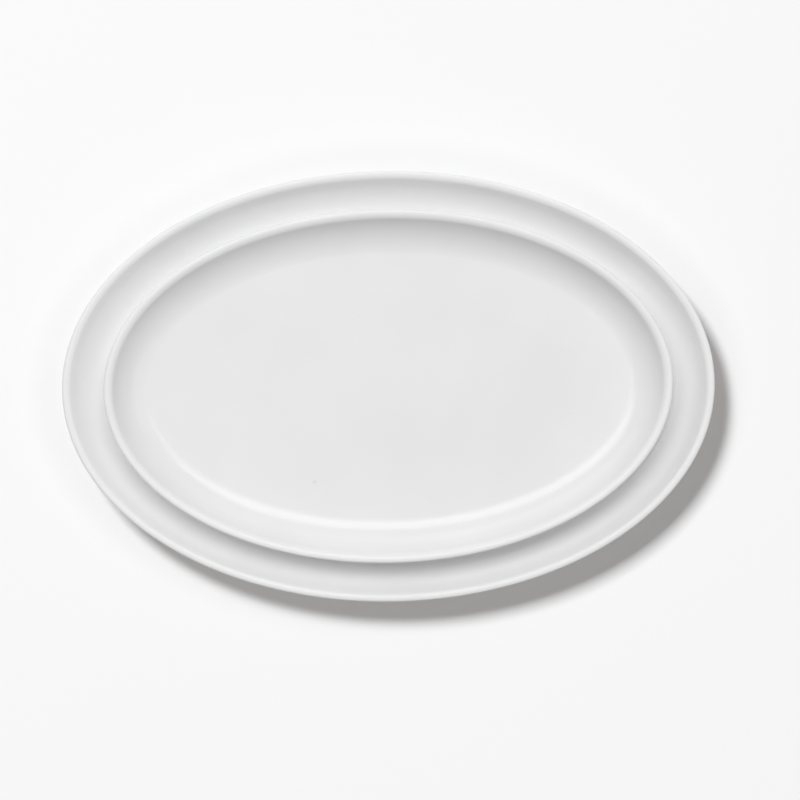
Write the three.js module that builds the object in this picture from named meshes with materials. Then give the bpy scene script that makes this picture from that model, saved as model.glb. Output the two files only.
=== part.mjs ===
// A nesting pair of oval serving plates in glazed white porcelain: a small plate stands in a large one and
// lifts straight out of it. Millimetres, +Z up, the plates' long axis along X. The origin is on the table,
// under the middle of the large plate.
import * as THREE from "three";

const { degToRad } = THREE.MathUtils;

// Outline of the large plate, over its rim.
const LARGE_LENGTH = 400;
const LARGE_WIDTH = 264;

// How far inside the large rim the small rim lies, at the ends and along the sides.
const END_SETBACK = 26;
const SIDE_SETBACK = 24;

// The small plate is set down by hand, so it lies a little turned in the large one.
const SMALL_TURN = degToRad(0.6);

// Inside, a straight wall drops from the lip, bows over into a cove, and the cove ends level with the floor.
// Outside, a steeper wall drops from the lip and rounds over the heel to the underside. The small plate is
// the deeper and steeper of the two.
const LARGE_WALL = {
  depth: 12, // from the crest of the lip to the floor
  wallSlope: degToRad(46), // of the straight stretch under the lip, inside
  coveRadius: 18.5,
  coveSlope: degToRad(28), // at which the bow passes into the cove
  outerSlope: degToRad(72), // of the straight stretch under the lip, outside
  heelRadius: 14,
};
const SMALL_WALL = {
  depth: 16,
  wallSlope: degToRad(58),
  coveRadius: 20.5,
  coveSlope: degToRad(35),
  outerSlope: degToRad(82),
  heelRadius: 10,
};
const BOW_RADIUS = 30;
const FLOOR_THICKNESS = 4.4;

// The lip has a crisp outer edge, a level crest, and a soft roll from the crest in to the wall.
const EDGE_RADIUS = 1.5;
const CREST_WIDTH = 0.7;
const ROLL_RADIUS = 4.3;

// Foot ring under the floor.
const FOOT_HEIGHT = 1.8;
const FOOT_WIDTH = 3.6; // of the flat face that stands on the table
const FOOT_TAPER = 1.4; // by which each side of the ring spreads from that face up to the underside
const FOOT_SETBACK = 3; // from the floor's edge in to the ring's root

// Air left between the small plate's foot and the floor that it stands on.
const SEAT_GAP = 0.3;

// Fineness of the facets.
const FACETS_AROUND = 84;
const ARC_ERROR = 0.06; // most that a facet of the section may stand off its arc

// The point of a circle at an angle.
function onCircle(centre, radius, angle) {
  return new THREE.Vector2(Math.cos(angle), Math.sin(angle)).multiplyScalar(radius).add(centre);
}

// Points of an arc in the section, with one at each of the angles that it passes through.
function arcPoints(centre, radius, ...angles) {
  const widestStep = 2 * Math.acos(1 - ARC_ERROR / radius);
  const points = [onCircle(centre, radius, angles[0])];
  for (let i = 1; i < angles.length; i++) {
    const sweep = angles[i] - angles[i - 1];
    const steps = Math.ceil(Math.abs(sweep) / widestStep);
    for (let step = 1; step <= steps; step++) {
      points.push(onCircle(centre, radius, angles[i - 1] + (sweep * step) / steps));
    }
  }
  return points;
}

// Angle, on an arc that opens upwards, of the point where the arc has a given slope.
const angleAtSlope = (slope) => slope - Math.PI / 2;

// Centre and radius of the arc under a straight wall. The wall drops at its slope from its top to the arc,
// and the arc eases from there to its end slope at the base. Its radius is no more than there is room for.
function wallOnArc(top, slope, base, endSlope, fullRadius) {
  const room = top.y - base;
  const risePerRadius = Math.cos(endSlope) - Math.cos(slope);
  const radius = Math.min(fullRadius, room / risePerRadius);
  const drop = room - radius * risePerRadius;
  const wallFoot = new THREE.Vector2(top.x - drop / Math.tan(slope), top.y - drop);
  return { centre: onCircle(wallFoot, -radius, angleAtSlope(slope)), radius };
}

// The section's arcs. x is the distance from the middle along the plate, y the height.
function sectionArcs({ length, depth, wallSlope, coveRadius, coveSlope, outerSlope, heelRadius }) {
  const floor = FOOT_HEIGHT + FLOOR_THICKNESS;
  const rim = floor + depth;
  const edge = new THREE.Vector2(length / 2 - EDGE_RADIUS, rim - EDGE_RADIUS);
  const roll = new THREE.Vector2(edge.x - CREST_WIDTH, rim - ROLL_RADIUS);

  const coveRise = coveRadius * (1 - Math.cos(coveSlope));
  const wallTop = onCircle(roll, ROLL_RADIUS, angleAtSlope(wallSlope) + Math.PI);
  const bow = wallOnArc(wallTop, wallSlope, floor + coveRise, coveSlope, BOW_RADIUS);
  const bowFoot = onCircle(bow.centre, bow.radius, angleAtSlope(coveSlope));
  const cove = onCircle(bowFoot, -coveRadius, angleAtSlope(coveSlope));

  const outerTop = onCircle(edge, EDGE_RADIUS, angleAtSlope(outerSlope));
  const heel = wallOnArc(outerTop, outerSlope, FOOT_HEIGHT, 0, heelRadius);
  return { floor, edge, roll, bow, cove, heel };
}

// Radii of the foot ring, from its inner root to its outer root.
function footRadii(floorEdge) {
  const outerRoot = floorEdge - FOOT_SETBACK;
  const outer = outerRoot - FOOT_TAPER;
  const inner = outer - FOOT_WIDTH;
  return { innerRoot: inner - FOOT_TAPER, inner, outer, outerRoot };
}

// One plate's outline in section, from the middle of the underside out over the foot ring, up the outside,
// over the lip and down the inside to the middle of the floor.
function plateSection(sizes) {
  const { floor, edge, roll, bow, cove, heel } = sectionArcs(sizes);
  const foot = footRadii(cove.x);
  const level = angleAtSlope(0);
  const coved = angleAtSlope(sizes.coveSlope);
  const inside = angleAtSlope(sizes.wallSlope);
  const outside = angleAtSlope(sizes.outerSlope);
  const outermost = 0;
  const crest = Math.PI / 2;
  return [
    new THREE.Vector2(0, FOOT_HEIGHT),
    new THREE.Vector2(foot.innerRoot, FOOT_HEIGHT),
    new THREE.Vector2(foot.inner, 0),
    new THREE.Vector2(foot.outer, 0),
    new THREE.Vector2(foot.outerRoot, FOOT_HEIGHT),
    ...arcPoints(heel.centre, heel.radius, level, outside),
    ...arcPoints(edge, EDGE_RADIUS, outside, outermost, crest),
    ...arcPoints(roll, ROLL_RADIUS, crest, inside + Math.PI),
    ...arcPoints(bow.centre, bow.radius, inside, coved),
    ...arcPoints(cove, sizes.coveRadius, coved, level).slice(1),
    new THREE.Vector2(0, floor),
  ];
}

// Draws a round plate in along Y to its oval. From the foot ring out to the rim, each line of the section
// keeps its distance from the rim all the way round; inside the ring the sides draw in evenly to the middle.
function drawInToOval(geometry, sideDraw, coreRadius) {
  const position = geometry.getAttribute("position");
  const coreShare = (coreRadius - sideDraw) / coreRadius;
  for (let i = 0; i < position.count; i++) {
    const radius = Math.hypot(position.getX(i), position.getY(i));
    const share = radius > coreRadius ? (radius - sideDraw) / radius : coreShare;
    position.setY(i, position.getY(i) * share);
  }
  geometry.computeVertexNormals();
}

// One plate standing on Z = 0, centred on the origin.
function makePlate(name, sizes) {
  const geometry = new THREE.LatheGeometry(plateSection(sizes), FACETS_AROUND);
  geometry.rotateX(Math.PI / 2);
  const floorEdge = sectionArcs(sizes).cove.x;
  drawInToOval(geometry, (sizes.length - sizes.width) / 2, footRadii(floorEdge).innerRoot);
  const glaze = new THREE.MeshStandardMaterial({ color: 0xe9e9e8, roughness: 0.12, metalness: 0 });
  const plate = new THREE.Mesh(geometry, glaze);
  plate.name = name;
  return plate;
}

const largePlate = makePlate("large_plate", {
  length: LARGE_LENGTH,
  width: LARGE_WIDTH,
  ...LARGE_WALL,
});

const smallPlate = makePlate("small_plate", {
  length: LARGE_LENGTH - 2 * END_SETBACK,
  width: LARGE_WIDTH - 2 * SIDE_SETBACK,
  ...SMALL_WALL,
});
smallPlate.position.z = FOOT_HEIGHT + FLOOR_THICKNESS + SEAT_GAP;
smallPlate.rotation.z = SMALL_TURN;

const platePair = new THREE.Group();
platePair.add(largePlate, smallPlate);

export default platePair;
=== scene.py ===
"""A nesting pair of oval serving plates in white glazed porcelain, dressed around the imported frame.

The small plate stands in the large one and lifts straight out of it. Lengths are metres, +Z is up, and
the plates' long axis lies along X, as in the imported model.
"""

import logging
import math
from dataclasses import dataclass, field
from enum import Enum
from typing import Any, Optional, Sequence, Union

import bpy
import numpy as np
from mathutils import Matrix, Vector


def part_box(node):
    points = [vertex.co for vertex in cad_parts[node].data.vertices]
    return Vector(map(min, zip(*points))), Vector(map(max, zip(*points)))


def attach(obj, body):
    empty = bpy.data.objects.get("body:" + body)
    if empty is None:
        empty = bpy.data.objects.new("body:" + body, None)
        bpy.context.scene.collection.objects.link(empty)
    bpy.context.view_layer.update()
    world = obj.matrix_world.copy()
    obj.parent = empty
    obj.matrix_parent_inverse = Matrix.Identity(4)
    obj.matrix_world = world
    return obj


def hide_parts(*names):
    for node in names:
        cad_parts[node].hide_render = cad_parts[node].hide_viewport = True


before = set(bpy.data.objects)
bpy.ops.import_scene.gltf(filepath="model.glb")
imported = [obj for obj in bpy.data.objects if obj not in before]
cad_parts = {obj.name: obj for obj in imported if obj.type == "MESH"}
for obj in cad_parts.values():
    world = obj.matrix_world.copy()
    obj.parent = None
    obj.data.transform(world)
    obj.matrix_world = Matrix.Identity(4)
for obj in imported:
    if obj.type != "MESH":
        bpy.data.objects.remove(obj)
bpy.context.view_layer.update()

LOG = logging.getLogger("plates")
MM = 0.001

# Outline of the large plate over its rim.
LARGE_LENGTH = 400 * MM
LARGE_WIDTH = 264 * MM

# How far inside the large rim the small rim lies, at the ends and along the sides.
END_SETBACK = 26 * MM
SIDE_SETBACK = 24 * MM

Colour = tuple[float, float, float]
Point = tuple[float, float, float]
Term = Union[float, "Value"]
Settings = dict[str, Any]
Sockets = dict[Union[str, int], Any]

WHITE: Colour = (1, 1, 1)


class Operation(Enum):
    """The sums that a Math node does here."""

    ADD = "ADD"
    SUBTRACT = "SUBTRACT"
    MULTIPLY = "MULTIPLY"
    DIVIDE = "DIVIDE"
    GREATER = "GREATER_THAN"
    LARGER = "MAXIMUM"


class Value:
    """A number that changes over a surface: a socket, on which an expression adds Math nodes."""

    def __init__(self, shader: "Shader", socket: bpy.types.NodeSocket) -> None:
        """Keeps the socket, and the shader that its expressions add nodes to."""
        self.shader = shader
        self.socket = socket

    def math(self, operation: Operation, first: Term, second: Term) -> "Value":
        """Adds one Math node.

        Args:
            operation: The sum that it does.
            first: Its first term.
            second: Its second term.

        Returns:
            The node's result.
        """
        node = self.shader.node("ShaderNodeMath", {"operation": operation.value}, {0: first, 1: second})
        return Value(self.shader, node.outputs[0])

    def __add__(self, other: Term) -> "Value":
        """self + other."""
        return self.math(Operation.ADD, self, other)

    def __radd__(self, other: Term) -> "Value":
        """other + self."""
        return self.math(Operation.ADD, other, self)

    def __sub__(self, other: Term) -> "Value":
        """self - other."""
        return self.math(Operation.SUBTRACT, self, other)

    def __rsub__(self, other: Term) -> "Value":
        """other - self."""
        return self.math(Operation.SUBTRACT, other, self)

    def __mul__(self, other: Term) -> "Value":
        """self * other."""
        return self.math(Operation.MULTIPLY, self, other)

    def __rmul__(self, other: Term) -> "Value":
        """other * self."""
        return self.math(Operation.MULTIPLY, other, self)

    def __truediv__(self, other: Term) -> "Value":
        """self / other."""
        return self.math(Operation.DIVIDE, self, other)

    def __gt__(self, other: Term) -> "Value":
        """1 where self is more than other, and 0 elsewhere."""
        return self.math(Operation.GREATER, self, other)

    def larger(self, other: Term) -> "Value":
        """The larger of self and other."""
        return self.math(Operation.LARGER, self, other)

    def fade(self, start: float, end: float, first: float = 0.0, last: float = 1.0) -> "Value":
        """Passes smoothly from one number to another.

        Args:
            start: Value at which the passage starts.
            end: Value at which it ends.
            first: Result up to the start.
            last: Result from the end on.

        Returns:
            The result, on a smooth step between start and end.
        """
        node = self.shader.node(
            "ShaderNodeMapRange",
            {"interpolation_type": "SMOOTHSTEP"},
            {"Value": self, "From Min": start, "From Max": end, "To Min": first, "To Max": last},
        )
        return Value(self.shader, node.outputs[0])


def rgba(colour: Union[Colour, bpy.types.NodeSocket]) -> Union[tuple[float, ...], bpy.types.NodeSocket]:
    """A colour as a socket takes it: a link as it is, and three numbers with a fourth of 1."""
    return colour if isinstance(colour, bpy.types.NodeSocket) else (*colour, 1)


class Shader:
    """The nodes of one material or of the world."""

    COLOUR_FIRST = 6
    COLOUR_SECOND = 7
    COLOUR_RESULT = 2

    def __init__(self, tree: bpy.types.NodeTree) -> None:
        """Keeps the tree, and clears it."""
        self.tree = tree
        tree.nodes.clear()

    def node(self, kind: str, settings: Settings, sockets: Sockets) -> bpy.types.Node:
        """Adds a node.

        Args:
            kind: The node's type.
            settings: Its settings, which are set first.
            sockets: By name or number, the value of each socket or what is linked to it.

        Returns:
            The node.
        """
        node = self.tree.nodes.new(kind)
        for name, setting in settings.items():
            setattr(node, name, setting)
        for key, given in sockets.items():
            source = given.socket if isinstance(given, Value) else given
            if isinstance(source, bpy.types.NodeSocket):
                self.tree.links.new(source, node.inputs[key])
            else:
                node.inputs[key].default_value = source
        return node

    def value(self, kind: str, settings: Settings, sockets: Sockets, output: str) -> Value:
        """Adds a node and takes one of its outputs as a number.

        Args:
            kind: The node's type.
            settings: Its settings.
            sockets: The values and links of its sockets.
            output: Name of the output.

        Returns:
            The output.
        """
        return Value(self, self.node(kind, settings, sockets).outputs[output])

    def place(self) -> bpy.types.NodeSocket:
        """The object's own coordinates, in metres."""
        return self.node("ShaderNodeTexCoord", {}, {}).outputs["Object"]

    def length(self, place: bpy.types.NodeSocket, scale: Point) -> Value:
        """Distance of a place from the object's origin, with each axis scaled first.

        Args:
            place: The object's coordinates.
            scale: What each axis is multiplied by.

        Returns:
            The distance.
        """
        scaled = self.node("ShaderNodeVectorMath", {"operation": "MULTIPLY"}, {0: place, 1: scale})
        sockets = {0: scaled.outputs[0]}
        return self.value("ShaderNodeVectorMath", {"operation": "LENGTH"}, sockets, "Value")

    def distance(self, place: bpy.types.NodeSocket, point: Point) -> Value:
        """Distance of a place from a point of the object."""
        return self.value("ShaderNodeVectorMath", {"operation": "DISTANCE"}, {0: place, 1: point}, "Value")

    def noise(self, place: bpy.types.NodeSocket, grain: float, detail: float) -> Value:
        """Soft noise from 0 to 1.

        Args:
            place: The coordinates it is laid on.
            grain: Size of its grain, in metres.
            detail: How many finer grains are added to it.

        Returns:
            The noise.
        """
        sockets = {"Vector": place, "Scale": 1 / grain, "Detail": detail}
        return self.value("ShaderNodeTexNoise", {}, sockets, "Fac")

    def marked(self, mark: "Mark") -> Value:
        """A mark that is kept on the mesh's points."""
        return self.value("ShaderNodeAttribute", {"attribute_name": mark.value}, {}, "Fac")

    def mix(
        self,
        share: Term,
        first: Union[Colour, bpy.types.NodeSocket],
        second: Union[Colour, bpy.types.NodeSocket],
    ) -> bpy.types.NodeSocket:
        """Mixes two colours.

        Args:
            share: Share of the second colour.
            first: The first colour.
            second: The second colour.

        Returns:
            The mixed colour.
        """
        sockets = {0: share, self.COLOUR_FIRST: rgba(first), self.COLOUR_SECOND: rgba(second)}
        return self.node("ShaderNodeMix", {"data_type": "RGBA"}, sockets).outputs[self.COLOUR_RESULT]

    def shown(self) -> Value:
        """Tells what is looked at from what only gives light.

        Returns:
            1 where the camera looks, straight or by way of gloss or glass, and 0 for light that scatters.
        """
        path = self.node("ShaderNodeLightPath", {}, {})
        camera = Value(self, path.outputs["Is Camera Ray"])
        gloss = Value(self, path.outputs["Is Glossy Ray"])
        glass = Value(self, path.outputs["Is Transmission Ray"])
        return camera.larger(gloss).larger(glass)

    def blend(self, share: Term, first: bpy.types.Node, second: bpy.types.Node) -> bpy.types.Node:
        """Mixes two surfaces or skies.

        Args:
            share: Share of the second.
            first: The first one's node.
            second: The second one's node.

        Returns:
            The node that mixes them.
        """
        return self.node("ShaderNodeMixShader", {}, {0: share, 1: first.outputs[0], 2: second.outputs[0]})

    def finish(self, kind: str, made: bpy.types.Node) -> None:
        """Ends the nodes in an output of this kind, with this node as its surface."""
        self.node(kind, {}, {"Surface": made.outputs[0]})


def new_material(name: str) -> tuple[bpy.types.Material, Shader]:
    """Makes an empty material.

    Args:
        name: Its name.

    Returns:
        The material and its nodes.
    """
    material = bpy.data.materials.new(name)
    material.use_nodes = True
    return material, Shader(material.node_tree)


class Mark(Enum):
    """What a plate's points keep for its finish, from 0 to 1."""

    BARE = "bare"  # ground off, on the face that stands on the table
    POOLED = "pooled"  # in the cove, where the glaze ran together
    THIN = "thin"  # over the lip, where it ran off


@dataclass(frozen=True)
class GlazedPorcelain:
    """Clear gloss glaze on white porcelain, with the bare body on the foot ring's ground face."""

    name: str
    white: Colour = (0.815, 0.815, 0.815)
    cloud: Colour = (0.795, 0.795, 0.796)
    cloud_grain: float = 60 * MM
    cloud_detail: float = 2.0
    cloud_from: float = 0.35  # of the noise, where the cloud starts
    cloud_to: float = 0.7  # and where it is full
    pooled_glaze: Colour = (0.787, 0.788, 0.789)
    thin_glaze: Colour = (0.828, 0.827, 0.825)
    bare_body: Colour = (0.70, 0.685, 0.655)
    speck_colour: Colour = (0.33, 0.31, 0.29)
    speck_spacing: float = 34 * MM
    speck_radius: float = 0.22 * MM
    speck_core: float = 0.5  # share of the radius over which a speck has its full colour
    speck_share: float = 0.05  # of the pattern's cells that have a speck
    firing_speck: Optional[Point] = None  # where one larger, fainter speck lies
    firing_speck_radius: float = 1.9 * MM
    firing_speck_depth: float = 0.17  # share of the speck colour at its middle
    shine: float = 0.22
    gloss: float = 0.09
    dulled_by: float = 0.06
    dull_grain: float = 22 * MM
    dull_detail: float = 4.0
    dull_from: float = 0.4  # of the noise, where the dulling starts
    dull_to: float = 0.75  # and where it is full
    bare_roughness: float = 0.7
    ripple_grain: float = 26 * MM
    ripple_detail: float = 1.0
    ripple_height: float = 0.012 * MM
    grit_grain: float = 0.5 * MM
    grit_detail: float = 2.0
    grit_height: float = 0.03 * MM

    def specks(self, shader: Shader, place: bpy.types.NodeSocket) -> Value:
        """Pinhead iron specks under the glaze, in a few of the cells of a random pattern.

        Args:
            shader: The material's nodes.
            place: The object's coordinates.

        Returns:
            1 on a speck, 0 elsewhere, and between them on the firing speck.
        """
        sockets = {"Vector": place, "Scale": 1 / self.speck_spacing}
        cells = shader.node("ShaderNodeTexVoronoi", {"voronoi_dimensions": "2D"}, sockets)
        radius = self.speck_radius / self.speck_spacing
        near = Value(shader, cells.outputs["Distance"]).fade(self.speck_core * radius, radius, 1.0, 0.0)
        draw = shader.value("ShaderNodeSeparateColor", {}, {0: cells.outputs["Color"]}, "Red")
        specks = near * (draw > 1 - self.speck_share)
        if self.firing_speck is None:
            return specks
        reach = shader.distance(place, self.firing_speck)
        return specks.larger(self.firing_speck_depth * reach.fade(0, self.firing_speck_radius, 1.0, 0.0))

    def tone(self, shader: Shader, place: bpy.types.NodeSocket, bare: Value) -> bpy.types.NodeSocket:
        """The colour: clouds faintly, deepens where the glaze pooled, and pales where it ran thin.

        Args:
            shader: The material's nodes.
            place: The object's coordinates.
            bare: Where the body is bare.

        Returns:
            The colour.
        """
        clouds = shader.noise(place, self.cloud_grain, self.cloud_detail)
        tone = shader.mix(clouds.fade(self.cloud_from, self.cloud_to), self.white, self.cloud)
        tone = shader.mix(shader.marked(Mark.POOLED), tone, self.pooled_glaze)
        tone = shader.mix(shader.marked(Mark.THIN), tone, self.thin_glaze)
        tone = shader.mix(self.specks(shader, place), tone, self.speck_colour)
        return shader.mix(bare, tone, self.bare_body)

    def roughness(self, shader: Shader, place: bpy.types.NodeSocket, bare: Value) -> Value:
        """The roughness: a gloss that is a little dulled in patches, and matt where the body is bare.

        Args:
            shader: The material's nodes.
            place: The object's coordinates.
            bare: Where the body is bare.

        Returns:
            The roughness.
        """
        dulled = shader.noise(place, self.dull_grain, self.dull_detail).fade(self.dull_from, self.dull_to)
        return self.gloss + self.dulled_by * dulled + bare * (self.bare_roughness - self.gloss)

    def relief(self, shader: Shader, place: bpy.types.NodeSocket, bare: Value) -> bpy.types.NodeSocket:
        """The relief: ripples in the glaze, and grit where the body is bare.

        Args:
            shader: The material's nodes.
            place: The object's coordinates.
            bare: Where the body is bare.

        Returns:
            The bumped normal.
        """
        rippled = shader.noise(place, self.ripple_grain, self.ripple_detail)
        gritty = shader.noise(place, self.grit_grain, self.grit_detail)
        height = self.ripple_height * (1 - bare) * rippled + self.grit_height * bare * gritty
        return shader.node("ShaderNodeBump", {}, {"Distance": 1.0, "Height": height}).outputs["Normal"]

    def material(self) -> bpy.types.Material:
        """Makes the finish.

        Returns:
            The material.
        """
        material, shader = new_material(self.name)
        place = shader.place()
        bare = shader.marked(Mark.BARE)
        sockets = {
            "Base Color": self.tone(shader, place, bare),
            "Roughness": self.roughness(shader, place, bare),
            "Specular IOR Level": self.shine,
            "Normal": self.relief(shader, place, bare),
        }
        shader.finish("ShaderNodeOutputMaterial", shader.node("ShaderNodeBsdfPrincipled", {}, sockets))
        return material


@dataclass(frozen=True)
class TableTop:
    """The pale matt table.

    Its colour is painted a little greyer close to the plates, as painted shade that holds down the light
    their white walls throw back on it and deepens their shadow by the rim. Its own tone is cool, and its
    glow warm by as much, so that the lit table is white and its shadow faintly warm.
    """

    name: str = "pale_table"
    pale: Colour = (0.886, 0.898, 0.906)
    paler: Colour = (0.890, 0.902, 0.910)
    # Painted shade: a greyer table colour next to the plates, standing in for less light there.
    painted_shade_by_plates: Colour = (0.755, 0.765, 0.772)
    painted_shade_reach: float = 28 * MM  # from the large rim's outline out to where the painted shade has faded
    cloud_grain: float = 400 * MM
    cloud_detail: float = 2.0
    glow: Colour = (0.985, 0.94, 0.911)
    glow_share: float = 0.225  # of what the camera sees, so that the shadow isn't too deep

    def material(self) -> bpy.types.Material:
        """Makes the finish.

        The way from the middle to a place, divided by the place's length with the large rim scaled to a
        circle of 1, is the way to the rim. What is left of it lies beyond the rim.

        Returns:
            A material that clouds hardly at all, is painted greyer near the plates as painted shade, and
            glows a little where it is looked at.
        """
        material, shader = new_material(self.name)
        place = shader.place()
        from_middle = shader.length(place, (1, 1, 0))
        in_rims = shader.length(place, (2 / LARGE_LENGTH, 2 / LARGE_WIDTH, 0))
        beyond = from_middle - from_middle / in_rims
        tone = shader.mix(shader.noise(place, self.cloud_grain, self.cloud_detail), self.pale, self.paler)
        # Painted shade around the plates: greyer at the rim, fading out over the reach.
        tone = shader.mix(beyond.fade(0, self.painted_shade_reach), self.painted_shade_by_plates, tone)
        sockets = {"Base Color": tone, "Roughness": 1.0, "Specular IOR Level": 0.0}
        matt = shader.node("ShaderNodeBsdfPrincipled", {}, sockets)
        glow = shader.node("ShaderNodeEmission", {}, {"Color": rgba(self.glow)})
        seen = shader.blend(self.glow_share * shader.shown(), matt, glow)
        shader.finish("ShaderNodeOutputMaterial", seen)
        return material


def toward(angle: float) -> np.ndarray:
    """The step of length 1 at an angle: its cosine and its sine."""
    return np.array([math.cos(angle), math.sin(angle)])


def angle_at(slope: float) -> float:
    """Angle, on an arc that opens upwards, of the point where the arc has this slope."""
    return slope - math.pi / 2


def down_slope(top: np.ndarray, drop: float, slope: float) -> np.ndarray:
    """The point that is a drop lower, down a straight wall that leans inwards at this slope."""
    return top - np.array([drop / math.tan(slope), drop])


def bell(distance: np.ndarray, spread: float) -> np.ndarray:
    """A bell curve: e to the power of minus the square of the distance over the spread."""
    return np.exp(-((distance / spread) ** 2))


def arc(centre: np.ndarray, radius: float, start: float, end: float, steps: int) -> np.ndarray:
    """Points of an arc: the centre plus the radius times the cosine and sine of an evenly stepped angle.

    Args:
        centre: Centre of the circle.
        radius: Its radius.
        start: Angle of the first point.
        end: Angle of the last point.
        steps: How many points.

    Returns:
        The points, one to a row.
    """
    angle = np.linspace(start, end, steps)
    return centre + radius * np.stack([np.cos(angle), np.sin(angle)], axis=1)


def rounded_line(corners: np.ndarray, radius: float, steps: int) -> np.ndarray:
    """A line through corners, each inner one rounded.

    The arc at a corner touches both its legs at the radius times the tangent of half the turn from it,
    and sweeps the turn about a centre one radius off the first leg.

    Args:
        corners: The corners, one to a row.
        radius: Radius of the arcs.
        steps: How many points each arc has.

    Returns:
        The points, one to a row.
    """
    pieces = [corners[:1]]
    for before, corner, after in zip(corners, corners[1:], corners[2:]):
        along = (corner - before) / np.linalg.norm(corner - before)
        onward = (after - corner) / np.linalg.norm(after - corner)
        turn = math.atan2(along[0] * onward[1] - along[1] * onward[0], along @ onward)
        touch = corner - along * radius * math.tan(abs(turn) / 2)
        inward = math.copysign(1, turn) * np.array([-along[1], along[0]])
        start = math.atan2(-inward[1], -inward[0])
        pieces.append(arc(touch + radius * inward, radius, start, start + turn, steps))
    pieces.append(corners[-1:])
    return np.concatenate(pieces)


def closed_shell(
    name: str, grid: np.ndarray, poles: np.ndarray, marks: dict[Mark, np.ndarray]
) -> bpy.types.Mesh:
    """Makes a closed mesh from a grid of rings, with a fan of triangles from a pole at either end.

    Args:
        name: The mesh's name.
        grid: Points by ring, by place on the ring, and by axis.
        poles: The point inside the first ring and the point inside the last.
        marks: For each mark, a number for each ring.

    Returns:
        The mesh, smooth and facing outwards.
    """
    rings, around = grid.shape[:2]
    spot = np.arange(around)
    beside = (spot + 1) % around
    ring = around * np.arange(rings - 1)[:, None]
    corners = (ring + spot, ring + beside, ring + around + beside, ring + around + spot)
    quads = np.stack(corners, axis=-1).reshape(-1, 4)
    first_pole = rings * around
    last_ring = first_pole - around
    first_fan = np.stack([np.full(around, first_pole), beside, spot], axis=1)
    last_fan = np.stack([np.full(around, first_pole + 1), last_ring + spot, last_ring + beside], axis=1)
    mesh = bpy.data.meshes.new(name)
    points = np.concatenate([grid.reshape(-1, 3), poles])
    mesh.from_pydata(points.tolist(), [], [*quads.tolist(), *first_fan.tolist(), *last_fan.tolist()])
    for mark, by_ring in marks.items():
        kept = mesh.attributes.new(mark.value, "FLOAT", "POINT")
        values = np.concatenate([np.repeat(by_ring, around), by_ring[[0, -1]]])
        kept.data.foreach_set("value", values.astype(np.float32))
    mesh.shade_smooth()
    return mesh


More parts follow.
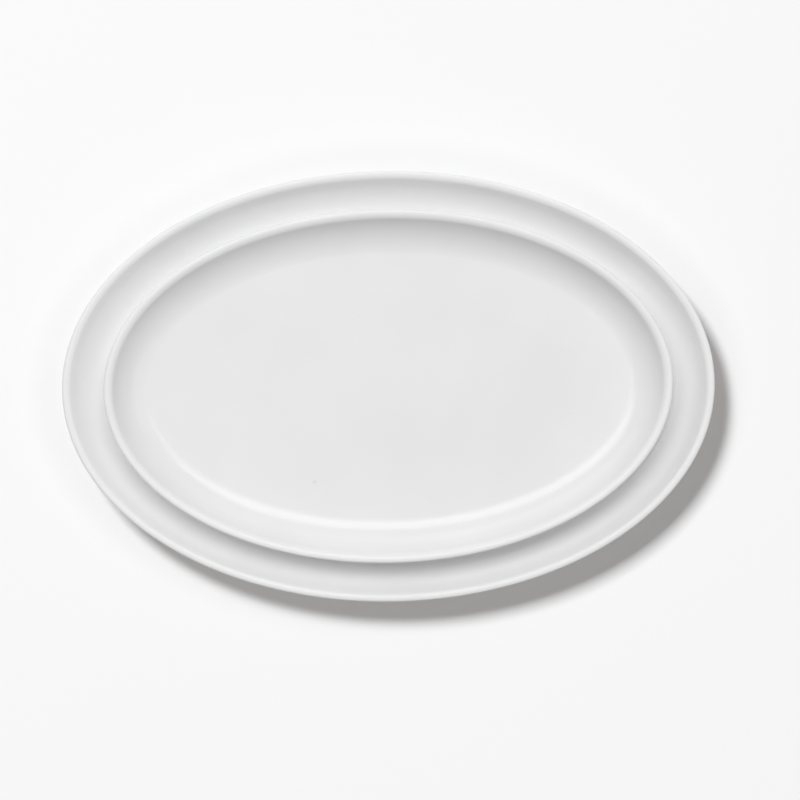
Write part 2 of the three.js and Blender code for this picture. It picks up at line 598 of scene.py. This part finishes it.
@dataclass
class OvalPlate:
    """One oval coupe plate: a flat floor, a cove, a bowed wall, a lip and a foot ring."""

    piece: str
    node: str
    body: str
    slot: str
    finish: GlazedPorcelain
    length: float
    width: float
    wall_slope: float  # of the straight stretch under the lip, inside
    cove_radius: float
    cove_slope: float  # at which the bow passes into the cove
    outer_slope: float  # of the straight stretch under the lip, outside
    heel_radius: float
    turn: float = 0.0
    bow_radius: float = 30 * MM
    edge_radius: float = 1.5 * MM  # of the lip's crisp outer edge
    crest_width: float = 0.7 * MM  # of the level stretch on top of the lip
    roll_radius: float = 4.3 * MM  # from there in to the wall
    floor_thickness: float = 4.4 * MM
    foot_height: float = 1.8 * MM
    foot_width: float = 3.6 * MM  # of the face that stands on the table
    foot_taper: float = 1.4 * MM  # by which each side of the ring spreads up to the underside
    foot_setback: float = 3.0 * MM  # from the floor's edge in to the ring's outer root
    foot_rounding: float = 0.7 * MM
    bare_height: float = 0.5 * MM  # over the foot's face, where the glaze starts
    pool_reach: float = 5.0 * MM
    thin_reach: float = 1.6 * MM
    pool_share: float = 0.5
    thin_share: float = 0.6
    around: int = 320
    floor_rings: int = 12
    foot_steps: int = 7
    heel_steps: int = 30
    edge_steps: int = 20
    roll_steps: int = 24
    bow_steps: int = 28
    cove_steps: int = 26
    base: float = field(init=False)
    rim: float = field(init=False)

    def __post_init__(self) -> None:
        """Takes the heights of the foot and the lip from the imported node."""
        low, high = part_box(self.node)
        self.base = low.z
        self.rim = high.z - low.z

    @property
    def floor(self) -> float:
        """Height of the floor over the foot's face."""
        return self.foot_height + self.floor_thickness

    @property
    def edge(self) -> np.ndarray:
        """Centre of the lip's outer edge, as distance from the middle and height."""
        return np.array([self.length / 2 - self.edge_radius, self.rim - self.edge_radius])

    @property
    def roll(self) -> np.ndarray:
        """Centre of the roll from the lip's crest in to the wall."""
        return np.array([self.edge[0] - self.crest_width, self.rim - self.roll_radius])

    def inner_arcs(self) -> tuple[np.ndarray, np.ndarray]:
        """Finds the bow and the cove.

        Inside, a straight wall drops from the roll to the bow, an arc that passes into the cove, an arc
        that ends level with the floor. An arc rises by its radius times the difference of its end slopes'
        cosines, and the wall drops over the room that the two leave.

        Returns:
            The centres of the bow and of the cove.
        """
        steep, coved = angle_at(self.wall_slope), angle_at(self.cove_slope)
        wall_top = self.roll - self.roll_radius * toward(steep)
        room = wall_top[1] - self.floor - self.cove_radius * (1 - math.cos(self.cove_slope))
        drop = room - self.bow_radius * (math.cos(self.cove_slope) - math.cos(self.wall_slope))
        bow = down_slope(wall_top, drop, self.wall_slope) - self.bow_radius * toward(steep)
        return bow, bow + (self.bow_radius - self.cove_radius) * toward(coved)

    def heel(self) -> np.ndarray:
        """Finds the heel, an arc from the straight outer wall to the level underside.

        Returns:
            Its centre.
        """
        outside = angle_at(self.outer_slope)
        wall_top = self.edge + self.edge_radius * toward(outside)
        drop = wall_top[1] - self.foot_height - self.heel_radius * (1 - math.cos(self.outer_slope))
        return down_slope(wall_top, drop, self.outer_slope) - self.heel_radius * toward(outside)

    def level_rings(self, reach: float, height: float) -> np.ndarray:
        """Points spaced evenly over a level stretch from the middle to an edge, without its ends.

        Args:
            reach: Distance of the edge.
            height: Height of the stretch.

        Returns:
            The points, one to a row.
        """
        share = np.arange(1, self.floor_rings + 1) / (self.floor_rings + 1)
        return np.stack([share * reach, np.full_like(share, height)], axis=1)

    def foot_corners(self, floor_edge: float) -> np.ndarray:
        """Finds the foot ring's section, which narrows from the underside to the face it stands on.

        Args:
            floor_edge: Distance of the floor's edge.

        Returns:
            Its inner root, the two edges of its face and its outer root, one to a row.
        """
        outer_root = floor_edge - self.foot_setback
        outer = outer_root - self.foot_taper
        inner = outer - self.foot_width
        inner_root = inner - self.foot_taper
        under = self.foot_height
        return np.array([(inner_root, under), (inner, 0), (outer, 0), (outer_root, under)])

    def underside(self, foot: np.ndarray, heel_reach: float) -> np.ndarray:
        """The outline of the underside, over the foot ring.

        Args:
            foot: The foot ring's corners.
            heel_reach: Distance at which the heel starts.

        Returns:
            The points from the middle out to the heel, without its first.
        """
        rings = self.level_rings(foot[0, 0], self.foot_height)
        corners = np.array([rings[-1], *foot, (heel_reach, self.foot_height)])
        ring = rounded_line(corners, self.foot_rounding, self.foot_steps)
        return np.concatenate([rings[:-1], ring[:-1]])

    def outline(self) -> tuple[np.ndarray, float, float]:
        """Works out the plate's section.

        Returns:
            The outline from the middle of the underside over the lip to the middle of the floor, as
            distance from the middle and height; the distance of the floor's edge; and that of the foot
            ring's inner root.
        """
        bow, cove = self.inner_arcs()
        heel = self.heel()
        floor_edge = cove[0]
        foot = self.foot_corners(floor_edge)
        level, crest = angle_at(0), math.pi / 2
        coved, steep = angle_at(self.cove_slope), angle_at(self.wall_slope)
        outside = angle_at(self.outer_slope)
        stretches = [
            self.underside(foot, heel[0]),
            arc(heel, self.heel_radius, level, outside, self.heel_steps),
            arc(self.edge, self.edge_radius, outside, crest, self.edge_steps),
            arc(self.roll, self.roll_radius, crest, steep + math.pi, self.roll_steps),
            arc(bow, self.bow_radius, steep, coved, self.bow_steps)[:-1],
            arc(cove, self.cove_radius, coved, level, self.cove_steps),
            self.level_rings(floor_edge, self.floor)[::-1],
        ]
        return np.concatenate(stretches), floor_edge, foot[0, 0]

    def surface(self, outline: np.ndarray, root: float) -> np.ndarray:
        """Carries the section round the oval.

        A point at distance r from the middle goes to (r cos a, w sin a) for every angle a. From the foot
        ring out, w is r less half of length minus width, so that each line keeps its distance from the
        rim; inside the ring w is in proportion to r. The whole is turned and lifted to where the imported
        node stands.

        Args:
            outline: The section.
            root: Distance of the foot ring's inner root.

        Returns:
            Points by ring, by place on the ring, and by axis.
        """
        reach, height = outline[:, :1], outline[:, 1:]
        drawn = (self.length - self.width) / 2
        half_width = np.where(reach > root, reach - drawn, reach * (root - drawn) / root)
        angle = np.linspace(0, 2 * math.pi, self.around, endpoint=False)[None, :]
        along, across = reach * np.cos(angle), half_width * np.sin(angle)
        cosine, sine = math.cos(self.turn), math.sin(self.turn)
        level = np.broadcast_to(height + self.base, along.shape)
        return np.stack([cosine * along - sine * across, sine * along + cosine * across, level], axis=-1)

    def marks(self, outline: np.ndarray, floor_edge: float) -> dict[Mark, np.ndarray]:
        """Marks the rings for the finish.

        Bare fades out over a small height from the foot's face. Pooled and thin are bell curves of the
        distance from the middle of the cove and from the crest of the lip.

        Args:
            outline: The section.
            floor_edge: Distance of the floor's edge.

        Returns:
            For each mark, a number for each ring.
        """
        reach, height = outline.T
        inside = np.arange(len(reach)) > np.argmax(height)
        cove_middle = floor_edge + self.cove_radius * math.sin(self.cove_slope / 2)
        crest = self.edge[0] - self.crest_width / 2
        over_lip = np.hypot(reach - crest, height - self.rim)
        return {
            Mark.BARE: np.clip(1 - height / self.bare_height, 0, 1),
            Mark.POOLED: self.pool_share * inside * bell(reach - cove_middle, self.pool_reach),
            Mark.THIN: self.thin_share * bell(over_lip, self.thin_reach),
        }

    def build(self) -> bpy.types.Object:
        """Makes the plate, dresses it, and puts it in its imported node's place.

        Returns:
            The plate.
        """
        outline, floor_edge, root = self.outline()
        poles = np.array([[0, 0, self.base + self.foot_height], [0, 0, self.base + self.floor]])
        marks = self.marks(outline, floor_edge)
        mesh = closed_shell(self.piece, self.surface(outline, root), poles, marks)
        mesh.materials.append(self.finish.material())
        plate = bpy.data.objects.new(self.piece, mesh)
        bpy.context.scene.collection.objects.link(plate)
        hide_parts(self.node)
        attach(plate, self.body)
        LOG.info("%s: %d faces on %s, for %s", self.piece, len(mesh.polygons), self.body, self.node)
        return plate


class Lit(Enum):
    """What a lamp lights."""

    PLATES = "plates"
    TABLE = "table"


@dataclass(frozen=True)
class Lamp:
    """A soft box that faces the plates."""

    name: str
    azimuth: float  # from +X towards +Y
    elevation: float
    spread: tuple[float, float]  # its width and height as seen from the plates
    share: float  # of the light under which a white sheet on the table renders white
    lit: Lit
    passes_small: bool = False  # whether its light goes through the small plate to the large one
    distance: float = 20.0

    def build(
        self, receivers: dict[Lit, bpy.types.Collection], blocker: bpy.types.Collection
    ) -> bpy.types.Object:
        """Makes the lamp.

        A lamp of power P at distance D lights a level white sheet to P sin(elevation) / (pi D) squared of
        white.

        Args:
            receivers: What each kind of lamp is held to.
            blocker: What alone throws shadows in a light that passes the small plate.

        Returns:
            The lamp.
        """
        data = bpy.data.lights.new(self.name, "AREA")
        data.shape = "RECTANGLE"
        data.size, data.size_y = (2 * self.distance * math.tan(angle / 2) for angle in self.spread)
        data.energy = self.share * (math.pi * self.distance) ** 2 / math.sin(self.elevation)
        lamp = bpy.data.objects.new(self.name, data)
        away = Vector((*(math.cos(self.elevation) * toward(self.azimuth)), math.sin(self.elevation)))
        lamp.location = self.distance * away
        lamp.rotation_euler = away.to_track_quat("Z", "Y").to_euler()
        lamp.visible_camera = False
        lamp.light_linking.receiver_collection = receivers[self.lit]
        if self.passes_small:
            lamp.light_linking.blocker_collection = blocker
        bpy.context.scene.collection.objects.link(lamp)
        LOG.info("%s: %.0f W over the %s", self.name, data.energy, self.lit.value)
        return lamp


@dataclass(frozen=True)
class Camera:
    """The camera, straight above the plates, in a square picture."""

    pixels: int = 800
    rim_pixels: float = 653.0  # of the large rim's length
    right_of_middle: float = 11.5  # from the plates' middle to the picture's, in pixels
    below_middle: float = 13.9
    roll: float = math.radians(-0.7)
    distance: float = 3.5  # to the large rim
    sensor: float = 36.0

    def build(self, rim_length: float, rim_height: float) -> bpy.types.Object:
        """Makes the camera and gives it to the scene.

        Args:
            rim_length: Length of the large rim.
            rim_height: Its height over the table.

        Returns:
            The camera.
        """
        pixel = rim_length / self.rim_pixels
        data = bpy.data.cameras.new("camera")
        data.sensor_width = self.sensor
        data.lens = self.sensor * self.distance / (self.pixels * pixel)
        camera = bpy.data.objects.new("camera", data)
        height = rim_height + self.distance
        camera.location = (self.right_of_middle * pixel, -self.below_middle * pixel, height)
        camera.rotation_euler = (0, 0, self.roll)
        bpy.context.scene.collection.objects.link(camera)
        bpy.context.scene.camera = camera
        return camera


def collection_of(name: str, *objects: bpy.types.Object) -> bpy.types.Collection:
    """Makes a collection for lamps to refer to.

    Args:
        name: Its name.
        objects: What it holds.

    Returns:
        The collection.
    """
    collection = bpy.data.collections.new(name)
    for held in objects:
        collection.objects.link(held)
    return collection


@dataclass(frozen=True)
class Studio:
    """A pale table under soft boxes and a plain sky."""

    lamps: Sequence[Lamp]
    sky: float = 0.135  # of the light under which white renders white
    backdrop: float = 0.94  # where the sky is looked at
    table_finish: TableTop = TableTop()
    table_side: float = 6.0
    table_below: float = 0.05 * MM  # under the foot, so that the two faces don't coincide

    def build_table(self) -> bpy.types.Object:
        """Makes the table.

        Returns:
            One level square.
        """
        corners = np.array([(-1, -1), (1, -1), (1, 1), (-1, 1)]) * self.table_side / 2
        points = [(*corner, -self.table_below) for corner in corners]
        mesh = bpy.data.meshes.new("table")
        mesh.from_pydata(points, [], [range(len(points))])
        mesh.materials.append(self.table_finish.material())
        table = bpy.data.objects.new("table", mesh)
        bpy.context.scene.collection.objects.link(table)
        return table

    def build_sky(self) -> None:
        """Lights everything a little from all round, and shows the camera and gloss a pale backdrop."""
        world = bpy.data.worlds.new("sky")
        world.use_nodes = True
        shader = Shader(world.node_tree)
        light, pale = (
            shader.node("ShaderNodeBackground", {}, {"Color": rgba(WHITE), "Strength": strength})
            for strength in (self.sky, self.backdrop)
        )
        shader.finish("ShaderNodeOutputWorld", shader.blend(shader.shown(), light, pale))
        bpy.context.scene.world = world

    def build(self, large: bpy.types.Object, small: bpy.types.Object) -> None:
        """Makes the table, the sky and the lamps.

        Args:
            large: The large plate.
            small: The small plate.
        """
        table = self.build_table()
        self.build_sky()
        receivers = {
            Lit.PLATES: collection_of("lit_plates", large, small),
            Lit.TABLE: collection_of("lit_table", table),
        }
        blocker = collection_of("large_plate_alone", large)
        for lamp in self.lamps:
            lamp.build(receivers, blocker)


def degrees(*angles: float) -> tuple[float, ...]:
    """Angles given in degrees, in radians."""
    return tuple(math.radians(angle) for angle in angles)


LARGE_PLATE = OvalPlate(
    piece="large_oval_plate",
    node="large_plate",
    body="lower_plate",
    slot="large_plate_glaze",
    finish=GlazedPorcelain("large_plate_porcelain"),
    length=LARGE_LENGTH,
    width=LARGE_WIDTH,
    wall_slope=math.radians(46),
    cove_radius=18.5 * MM,
    cove_slope=math.radians(28),
    outer_slope=math.radians(72),
    heel_radius=14 * MM,
)

# The small plate is deeper and steeper, and lies a little turned in the large one.
SMALL_PLATE = OvalPlate(
    piece="small_oval_plate",
    node="small_plate",
    body="upper_plate",
    slot="small_plate_glaze",
    finish=GlazedPorcelain("small_plate_porcelain", firing_speck=(-45.8 * MM, -58.2 * MM, 12.7 * MM)),
    length=LARGE_LENGTH - 2 * END_SETBACK,
    width=LARGE_WIDTH - 2 * SIDE_SETBACK,
    turn=math.radians(0.6),
    wall_slope=math.radians(58),
    cove_radius=20.5 * MM,
    cove_slope=math.radians(35),
    outer_slope=math.radians(82),
    heel_radius=10 * MM,
)

LAMPS = (
    Lamp("key", *degrees(108, 67), degrees(46, 24), 0.442, Lit.PLATES),
    Lamp("key_top", *degrees(108, 80), degrees(30, 18), 0.132, Lit.PLATES),
    Lamp("key_back", *degrees(95, 60), degrees(40, 24), 0.099, Lit.PLATES),
    Lamp("right_fill", *degrees(0, 50), degrees(40, 30), 0.115, Lit.PLATES, passes_small=True),
    Lamp("right_top", *degrees(0, 78), degrees(24, 16), 0.036, Lit.PLATES, passes_small=True),
    Lamp("front", *degrees(270, 45), degrees(50, 30), 0.020, Lit.PLATES),
    Lamp("low_front", *degrees(270, 20), degrees(50, 30), 0.023, Lit.PLATES),
    Lamp("low_right", *degrees(315, 20), degrees(50, 30), 0.011, Lit.PLATES),
    Lamp("low_back_right", *degrees(60, 20), degrees(50, 30), 0.015, Lit.PLATES),
    Lamp("low_back", *degrees(120, 14), degrees(60, 25), 0.041, Lit.PLATES),
    Lamp("low_left", *degrees(180, 20), degrees(50, 30), 0.008, Lit.PLATES),
    Lamp("table_lamp", *degrees(127, 44.2), degrees(15, 15), 0.925, Lit.TABLE),
)


def main() -> None:
    """Builds the plates, the studio and the camera, in that order."""
    logging.basicConfig(level=logging.INFO, format="%(message)s")
    large, small = LARGE_PLATE.build(), SMALL_PLATE.build()
    Studio(LAMPS).build(large, small)
    Camera().build(LARGE_PLATE.length, LARGE_PLATE.rim)
    bpy.context.scene.view_settings.view_transform = "Standard"


if __name__ == "__main__":
    main()
